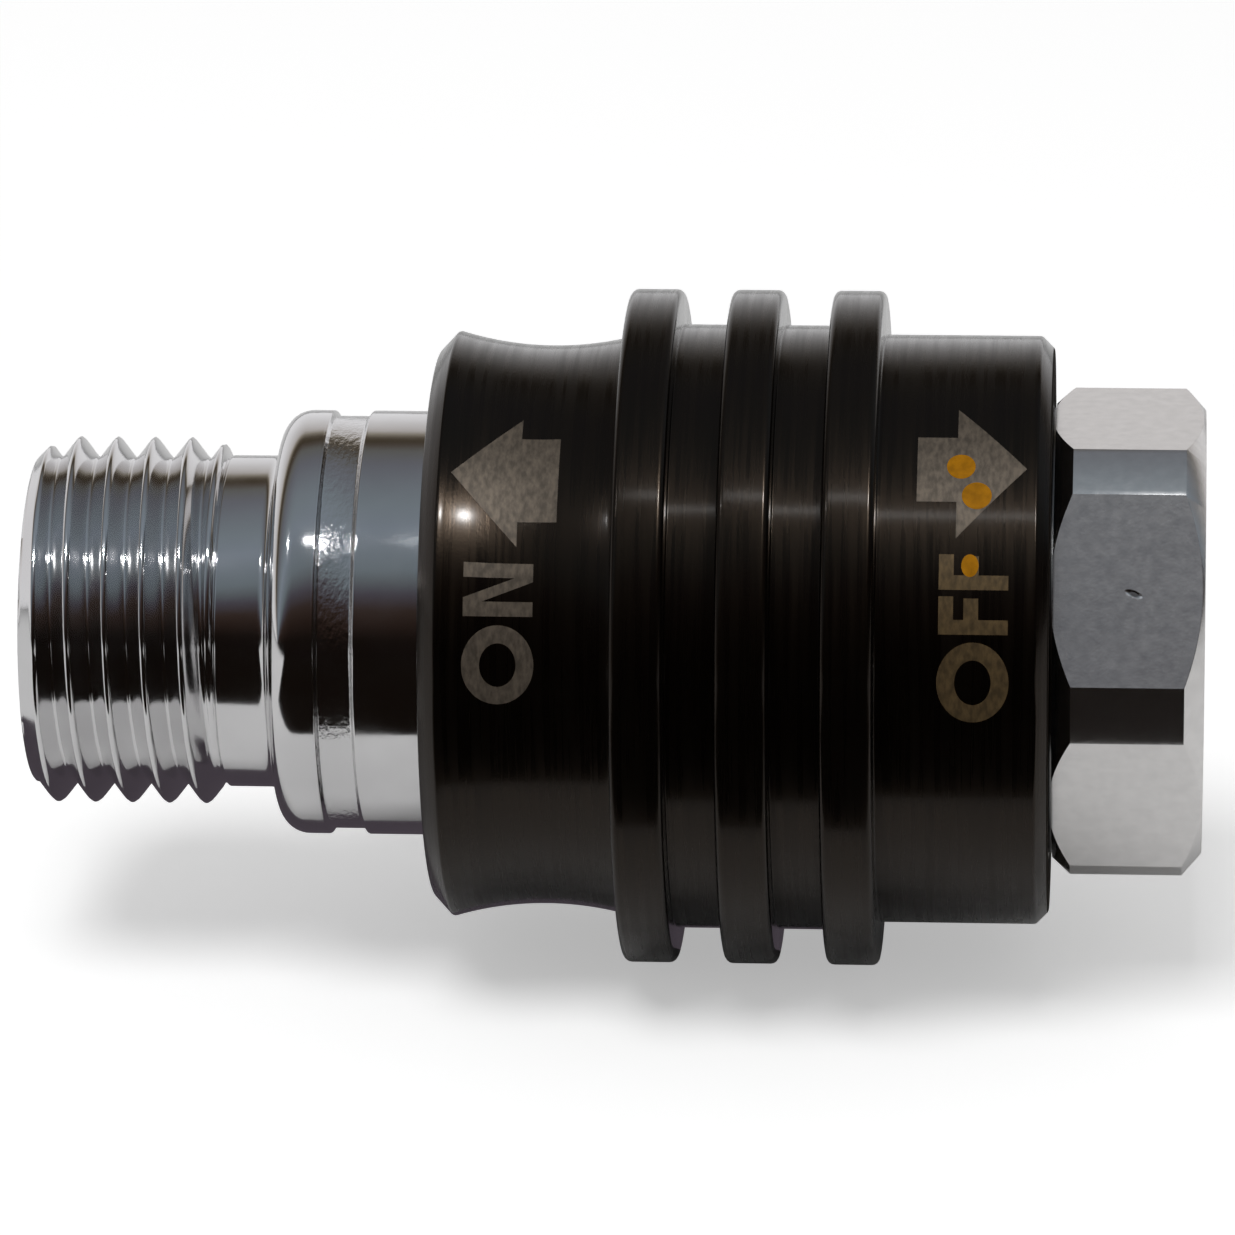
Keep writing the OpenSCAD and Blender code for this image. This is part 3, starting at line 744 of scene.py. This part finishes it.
class COUPLER_OT_marks(bpy.types.Operator):
    """Etch the words ON and OFF and their arrows on the sleeve, with their amber dots"""
    bl_idname = "coupler.marks"
    bl_label = "Marks"

    def execute(self, context):
        sleeve = context.scene.coupler_sleeve
        sizes = context.scene.coupler_marks
        colours = context.scene.coupler_colours
        silvery = etched_finish("etched_mark", colours.etched)
        golden = etched_finish("golden_mark", colours.golden)
        amber = amber_finish(colours)
        front, back = SLEEVE_LOW.x, SLEEVE_HIGH.x
        off_foot = back - sizes.off_from
        off_tail = back - sizes.off_arrow_from

        def waist(x):
            return waist_radius_at(sleeve, x)

        def barrel(x):
            return sleeve.barrel_radius

        def lay(name, mesh, x, turn, radius_at, material, towards=-1, lift=sizes.raise_by):
            wrap(mesh, x, turn, radius_at, lift, sizes.thickness, towards)
            make_piece(name, mesh, "sleeve", material, weighted=False)

        lay("on_word", word(ON_LETTERS, sizes), front + sizes.on_from, sizes.on_angle, waist, silvery)
        lay("off_word", word(OFF_LETTERS, sizes), off_foot, sizes.off_angle, barrel, golden)

        on_tail = front + sizes.on_arrow_from
        lay("on_arrow", arrow(ON_ARROW), on_tail, sizes.on_arrow_angle, waist, silvery)
        lay("off_arrow", arrow(OFF_ARROW), off_tail, sizes.off_arrow_angle, barrel, silvery, 1)

        on_top = 2 * sizes.raise_by
        arrow_dots = dots(ARROW_DOTS, sizes.dot_size)
        lay("amber_dots", arrow_dots, off_tail, sizes.off_arrow_angle, barrel, amber, 1, on_top)
        smudge = dots(SMUDGE, sizes.dot_size)
        lay("amber_smudge", smudge, off_foot, sizes.off_angle, barrel, amber, -1, on_top)
        return {"FINISHED"}


# ---------------------------------------------------------------- plug

def collar_groove(sizes):
    """Both ends of the collar's groove along the axis."""
    collar_back = PLUG_LOW.x + sizes.thread_length + sizes.neck_length + sizes.collar_length
    groove_back = collar_back - sizes.groove_inset
    return groove_back - sizes.groove_width, groove_back


def plug_outline(sizes):
    """Outline of the plug from the end of the thread, over the neck, to the open front end."""
    front, back = PLUG_LOW.x, PLUG_HIGH.x
    thread_end = front + sizes.thread_length
    collar_front = thread_end + sizes.neck_length
    collar_back = collar_front + sizes.collar_length
    collar = PLUG_HIGH.z
    fillet, edge = sizes.neck_fillet, sizes.collar_edge
    groove_front, groove_back = collar_groove(sizes)
    groove, slope = collar - sizes.groove_depth, sizes.groove_slope
    ball_at = (BALL_LOW.x + BALL_HIGH.x) / 2
    drop = math.degrees(math.asin((sizes.ball_circle - sizes.probe_radius) / sizes.ball_groove))
    bore_edge, probe_edge, chamfer = 0.3 * MM, 0.4 * MM, 0.2 * MM
    return [
        (thread_end + SEAM, sizes.root_radius), (thread_end + 5 * SEAM, sizes.neck_radius),
        *arc((collar_front - fillet, sizes.neck_radius + fillet), fillet, 270, 360, 8),
        *arc((collar_front + edge, collar - edge), edge, 180, 90, 12),
        (groove_front, collar), (groove_front + slope, groove),
        (groove_back - slope, groove), (groove_back, collar),
        (collar_back - chamfer, collar), (collar_back, collar - chamfer),
        (collar_back, sizes.probe_radius),
        *arc((ball_at, sizes.ball_circle), sizes.ball_groove, 180 + drop, 360 - drop, 24),
        (back - probe_edge, sizes.probe_radius), (back, sizes.probe_radius - probe_edge),
        (back, sizes.bore_radius + bore_edge), (back - bore_edge, sizes.bore_radius),
        (front + bore_edge, sizes.bore_radius), (front, sizes.bore_radius + bore_edge),
        (front, sizes.root_radius - SEAM)]


class COUPLER_OT_plug(bpy.types.Operator):
    """Turn the plug and cut its male pipe thread"""
    bl_idname = "coupler.plug"
    bl_label = "Threaded plug"

    def execute(self, context):
        sizes = context.scene.coupler_plug
        start = PLUG_LOW.x
        end = start + sizes.thread_length
        root, crest = sizes.root_radius, MOUNTS["front_thread"]["dims"]["r_mm"] * MM
        shift, run_out, broken_edge = 0.85 * MM, 0.3 * MM, 0.05 * MM
        body = bmesh.new()
        turn_outline(body, plug_outline(sizes), closed=False)
        soften(body, broken_edge)

        def trimmed(x, radius):
            fade = min(1, max(0, (end - x) / run_out))
            return min(root + max(0, x - start), root + (radius - root) * fade)

        mesh = bmesh.new()
        cut_thread(mesh, start + SEAM, end, root, crest, sizes.thread_pitch, shift, trimmed)
        absorb(mesh, body)
        bridge(mesh, start + SEAM, start)
        bridge(mesh, end, end + SEAM)
        finish = bright_plate_finish(context.scene.coupler_colours, *collar_groove(sizes))
        make_piece("threaded_plug", mesh, "plug", finish, ["plug_body"])
        return {"FINISHED"}


# ---------------------------------------------------------------- wrench end

def adapter_outline(sizes, port, thread_start, thread_end):
    """Outline from the inner end of the female thread, round the guide, to its outer end."""
    front, back = ADAPTER_LOW.x, ADAPTER_HIGH.x
    guide, turned = sizes.guide_radius, sizes.turned_radius
    shoulder = back - sizes.end_length
    web_back = back - sizes.web_at
    web_front = web_back - sizes.web_thickness
    edge, play = 0.3 * MM, 0.02 * MM
    joint_end, countersink_foot = front + sizes.joint_length, thread_end + SEAM
    outline = [
        (thread_start - SEAM, port), (web_back, port), (web_back, sizes.web_hole),
        (web_front, sizes.web_hole), (web_front, sizes.chamber_radius),
        (joint_end, sizes.chamber_radius), (joint_end, sizes.joint_radius),
        (front, sizes.joint_radius), (front, guide - edge), (front + edge, guide)]
    for low, high, slack in ((DETENT_LOW, DETENT_HIGH, 0.05 * MM), (RING_LOW, RING_HIGH, 0.1 * MM)):
        depth = high.x - low.x + play
        outline += [(low.x - slack, guide), (low.x - slack, guide - depth)]
        outline += [(high.x + slack, guide - depth), (high.x + slack, guide)]
    outline += [
        (shoulder, guide), (shoulder, turned - sizes.front_depth),
        (shoulder + sizes.front_length, turned), (back - sizes.back_length, turned),
        (back, turned - sizes.back_depth),
        (back, port + sizes.mouth_chamfer),
        (countersink_foot, port + sizes.mouth_chamfer + countersink_foot - back)]
    return outline


def mill_flats(mesh, across_flats):
    """Cuts six flats across the wrench end and fills them."""
    for index in range(6):
        turn = math.radians(90 + 60 * index)
        normal = Vector((0, -math.cos(turn), math.sin(turn)))
        cut = cut_plane(mesh, normal * across_flats / 2, normal)
        edges = [item for item in cut if isinstance(item, bmesh.types.BMEdge)]
        bmesh.ops.contextual_create(mesh, geom=edges)
        for edge in edges:
            edge.smooth = False


class COUPLER_OT_adapter(bpy.types.Operator):
    """Turn the wrench end and the guide, mill the flats and cut the female thread"""
    bl_idname = "coupler.adapter"
    bl_label = "Wrench end"

    def execute(self, context):
        sizes = context.scene.coupler_adapter
        pitch = context.scene.coupler_plug.thread_pitch
        port = MOUNTS["rear_port"]["dims"]["r_mm"] * MM
        back = ADAPTER_HIGH.x
        inset, relief, run_out, broken_edge = 0.25 * MM, 0.6 * MM, 1.2 * MM, 0.03 * MM
        thread_end = back - inset
        thread_start = back - sizes.web_at + relief
        body = bmesh.new()
        turn_outline(body, adapter_outline(sizes, port, thread_start, thread_end), closed=False)
        mill_flats(body, 2 * ADAPTER_HIGH.z)
        soften(body, broken_edge, 2)

        def widened(x, radius):
            countersink = port + x - back + sizes.mouth_chamfer
            fade = min(1, max(0, (x - thread_start) / run_out))
            return max(countersink, port + (radius - port) * fade)

        mesh = bmesh.new()
        cut_thread(mesh, thread_start, thread_end, port, sizes.thread_root, pitch, 0, widened)
        absorb(mesh, body)
        bridge(mesh, thread_start - SEAM, thread_start)
        bridge(mesh, thread_end, thread_end + SEAM)
        # The painted shade in the corner starts a little under the sleeve's end and runs to the
        # shoulder.
        under_sleeve = 0.1 * MM
        painted_shade_front, shoulder = SLEEVE_HIGH.x - under_sleeve, back - sizes.end_length
        finish = satin_plate_finish(context.scene.coupler_colours, painted_shade_front, shoulder)
        make_piece("wrench_end", mesh, "coupler_body", finish, ["rear_adapter"])
        return {"FINISHED"}


# ---------------------------------------------------------------- inner pieces

class COUPLER_OT_inner(bpy.types.Operator):
    """Give the inner pieces their finishes"""
    bl_idname = "coupler.inner"
    bl_label = "Inner pieces"

    def execute(self, context):
        colours = context.scene.coupler_colours
        brass = metal_finish("turned_brass", colours.brass, 0.28)
        wire = metal_finish("spring_wire", colours.steel, 0.24)
        ball = metal_finish("ball_steel", shade(colours.steel, 1.45), 0.08)
        rubber = soft_finish("nitrile", colours.rubber, 0.55)
        plastic = soft_finish("seal_plastic", colours.plastic, 0.45)
        fibre = soft_finish("gasket_fibre", colours.gasket, 0.75)
        made_of = {
            "socket_body": brass, "spring_retainer": brass, "poppet": brass,
            "poppet_spring": wire, "stop_ring": wire, "detent_ring": wire,
            "poppet_seal": rubber, "probe_seal": rubber, "sleeve_oring": rubber,
            "backup_ring": plastic, "body_gasket": fibre}
        for name in frame["nodes"]:
            if name.startswith("lock_ball"):
                made_of[name] = ball
        for name, material in made_of.items():
            data = frame["nodes"][name].data
            data.materials.clear()
            data.materials.append(material)
        return {"FINISHED"}


# ---------------------------------------------------------------- studio

# Cards over the floor, in millimetres: name, near left and far right corner (x, y), colour,
# and how far the near edge is raised, and widened at each side. The second card is painted
# shadow: a dark sheet where the coupler's shadow lies on the floor, seen only in reflections.
CARDS = (
    ("front_flag", (-36, -1500), (60, -18.3), (0.006, 0.004, 0.003), 30, 900),
    # Painted shadow: stands for the coupler's shadow on the floor in reflections.
    ("painted_floor_shadow", (-36, -1.9), (9, 18), (0.065, 0.054, 0.066), 0, 0))
CARD_HEIGHT = 0.3 * MM

# Each lamp's name, place and size in metres, power, and whether only reflections show it.
LAMPS = (
    ("key", (-0.1, -0.25, 0.6), (0.35, 0.35), 2, False),
    ("strip", (0, -0.13, 0.265), (0.04, 0.008), 0.016, True),
    ("spark", (-0.15, -0.12, 0.25), (0.01, 0.01), 0.04, True),
    ("star", (0.085, -0.13, 0.265), (0.018, 0.018), 0.3, True))

# What reflections see from the front (0 degrees), over the top, to the back (180).
SKY = (
    (0, (0.005, 0.003, 0.0025)), (11, (0.007, 0.0045, 0.0033)), (20, (0.022, 0.013, 0.01)),
    (28, (0.038, 0.025, 0.02)), (37, (0.07, 0.064, 0.08)), (44, (0.115, 0.13, 0.142)),
    (50, (0.155, 0.185, 0.205)), (74, (0.22, 0.256, 0.3)), (90, (0.2, 0.235, 0.262)),
    (118, (0.145, 0.15, 0.172)), (129, (0.13, 0.13, 0.122)), (134, (0.085, 0.07, 0.058)),
    (138, (0.052, 0.04, 0.025)), (142, (0.09, 0.072, 0.052)), (146, (0.28, 0.25, 0.2)),
    (149, (0.5, 0.47, 0.45)), (154, (0.6, 0.58, 0.57)), (166, (0.76, 0.75, 0.76)),
    (180, (0.85, 0.85, 0.86)))


def empty_tree(owner):
    """Node tree of a new material or world, without its usual nodes."""
    owner.use_nodes = True
    owner.node_tree.nodes.clear()
    return owner.node_tree


def floor_card(floor_at, name, near, far, value, tilt, widen):
    """Glowing card over the floor, only for reflections: a dark studio flag, or painted shadow."""
    corners = (
        (near[0] - widen, near[1], tilt), (far[0] + widen, near[1], tilt),
        (far[0], far[1], 0), (near[0], far[1], 0))
    lift = Vector((0, 0, floor_at + CARD_HEIGHT))
    mesh = bmesh.new()
    mesh.faces.new([mesh.verts.new(Vector(corner) * MM + lift) for corner in corners])
    material = bpy.data.materials.new(name)
    tree = empty_tree(material)
    glow = add_node(tree, "ShaderNodeEmission", {"Color": (*value, 1)})
    add_node(tree, "ShaderNodeOutputMaterial", {"Surface": glow.outputs[0]})
    card = mesh_object(name, mesh, material)
    card.visible_camera = False
    card.visible_diffuse = False
    card.visible_shadow = False
    card.visible_transmission = False


def lamp(name, place, size, watts, mirrored, target):
    """Area lamp that points at a target, for reflections only or for matt surfaces only.
    It is round if its length is its width."""
    data = bpy.data.lights.new(name, "AREA")
    data.shape = "RECTANGLE" if size[0] != size[1] else "DISK"
    data.size, data.size_y = size
    data.energy = watts
    light = new_object(name, data)
    light.location = place
    light.rotation_euler = (target - Vector(place)).to_track_quat("-Z", "Y").to_euler()
    light.visible_glossy = mirrored
    light.visible_diffuse = not mirrored


def background(tree, value=(1, 1, 1, 1), strength=1):
    """Background of a colour or a texture."""
    return add_node(tree, "ShaderNodeBackground", {"Color": value, "Strength": strength}).outputs[0]


def mix_shaders(tree, share, first, second):
    """The first shader where the share is 0, and the second where it is 1."""
    return add_node(tree, "ShaderNodeMixShader", {0: share, 1: first, 2: second}).outputs[0]


def studio_world(fill):
    """White to the eye, and a studio in reflections: dark in front, a pale ceiling, a white back."""
    lean = 0.5
    world = bpy.data.worlds.new("studio")
    tree = empty_tree(world)
    place = add_node(tree, "ShaderNodeTexCoord").outputs["Generated"]
    x, y, z = add_node(tree, "ShaderNodeSeparateXYZ", {"Vector": place}).outputs
    front = math_node(tree, "MULTIPLY_ADD", x, lean, math_node(tree, "MULTIPLY", y, -1))
    turn = math_node(tree, "ARCTAN2", z, front)
    spread = add_node(tree, "ShaderNodeMapRange", {"Value": turn, "From Max": math.pi})
    ramp = add_node(tree, "ShaderNodeValToRGB", {"Fac": spread.outputs["Result"]})
    elements = ramp.color_ramp.elements
    while len(elements) > 1:
        elements.remove(elements[-1])
    for index, (degrees, value) in enumerate(SKY):
        element = elements[0] if index == 0 else elements.new(degrees / 180)
        element.position = degrees / 180
        element.color = (*value, 1)
    path = add_node(tree, "ShaderNodeLightPath").outputs
    clear = math_node(tree, "MAXIMUM", path["Is Camera Ray"], path["Is Transmission Ray"])
    mirrored = background(tree, ramp.outputs["Color"])
    lit = mix_shaders(tree, path["Is Glossy Ray"], background(tree, strength=fill), mirrored)
    seen = mix_shaders(tree, clear, lit, background(tree))
    add_node(tree, "ShaderNodeOutputWorld", {"Surface": seen})
    bpy.context.scene.world = world


def floor_material(value):
    """Matt floor that is lifted to white for the eye and keeps the shadow."""
    lift = 0.42
    material = bpy.data.materials.new("studio_floor")
    tree = empty_tree(material)
    matt = add_node(tree, "ShaderNodeBsdfDiffuse", {"Color": (*value, 1)})
    path = add_node(tree, "ShaderNodeLightPath").outputs
    strength = math_node(tree, "MULTIPLY", path["Is Camera Ray"], lift)
    bright = add_node(tree, "ShaderNodeEmission", {"Strength": strength})
    both = add_node(tree, "ShaderNodeAddShader", {0: matt.outputs[0], 1: bright.outputs[0]})
    add_node(tree, "ShaderNodeOutputMaterial", {"Surface": both.outputs[0]})
    return material


def studio_camera(settings, target):
    """Camera at the viewing angle, with a slight roll."""
    data = bpy.data.cameras.new("camera")
    data.lens = settings.lens
    data.shift_x, data.shift_y = settings.shift
    data.clip_start, data.clip_end = 0.01, 10
    camera = new_object("camera", data)
    back = Vector((
        math.sin(settings.yaw) * math.cos(settings.elevation),
        -math.cos(settings.yaw) * math.cos(settings.elevation),
        math.sin(settings.elevation)))
    camera.location = target + back * settings.distance
    aim = (-back).to_track_quat("-Z", "Y").to_matrix()
    camera.rotation_euler = (aim @ Matrix.Rotation(settings.roll, 3, "Z")).to_euler()
    bpy.context.scene.camera = camera


class COUPLER_OT_studio(bpy.types.Operator):
    """Set up the floor, the lamps, the cards and the camera"""
    bl_idname = "coupler.studio"
    bl_label = "Studio"

    def execute(self, context):
        settings = context.scene.coupler_studio
        low, high = (Vector(corner) for corner in CAD_BOX)
        middle = (low + high) / 2
        studio_camera(settings, middle)

        half_width = 2
        mesh = bmesh.new()
        bmesh.ops.create_grid(mesh, x_segments=1, y_segments=1, size=half_width)
        bmesh.ops.translate(mesh, verts=mesh.verts, vec=(0, 0, low.z))
        floor = mesh_object("floor", mesh, floor_material(settings.floor))
        for card in CARDS:
            floor_card(low.z, *card)

        for name, place, size, watts, mirrored in LAMPS:
            lamp(name, place, size, watts * settings.lamp_share, mirrored, middle)
        studio_world(settings.fill)
        context.scene.view_settings.view_transform = "Standard"
        return {"FINISHED"}


# ---------------------------------------------------------------- panel and registration

STEPS = (
    COUPLER_OT_studio, COUPLER_OT_adapter, COUPLER_OT_plug, COUPLER_OT_sleeve, COUPLER_OT_marks,
    COUPLER_OT_inner)
SETTINGS = {
    "coupler_sleeve": SleeveSizes, "coupler_marks": MarkSizes, "coupler_plug": PlugSizes,
    "coupler_adapter": AdapterSizes, "coupler_colours": FinishColours, "coupler_studio": StudioSettings}


class COUPLER_PT_sidebar(bpy.types.Panel):
    """Lists the pieces and the sizes that shape them"""
    bl_idname = "COUPLER_PT_sidebar"
    bl_label = "Quick disconnect coupler"
    bl_space_type = "VIEW_3D"
    bl_region_type = "UI"
    bl_category = "Coupler"

    def draw(self, context):
        for step in STEPS:
            self.layout.operator(step.bl_idname)
        for name, group in SETTINGS.items():
            box = self.layout.box()
            box.label(text=group.__doc__)
            for size in group.__annotations__:
                box.prop(getattr(context.scene, name), size)


def register():
    for cls in (*SETTINGS.values(), *STEPS, COUPLER_PT_sidebar):
        bpy.utils.register_class(cls)
    for name, group in SETTINGS.items():
        setattr(bpy.types.Scene, name, bpy.props.PointerProperty(type=group))


def unregister():
    for name in SETTINGS:
        delattr(bpy.types.Scene, name)
    for cls in (COUPLER_PT_sidebar, *STEPS, *SETTINGS.values()):
        bpy.utils.unregister_class(cls)


def main():
    register()
    bpy.ops.coupler.studio()
    bpy.ops.coupler.adapter()
    bpy.ops.coupler.plug()
    bpy.ops.coupler.sleeve()
    bpy.ops.coupler.marks()
    bpy.ops.coupler.inner()


if __name__ == "__main__":
    main()
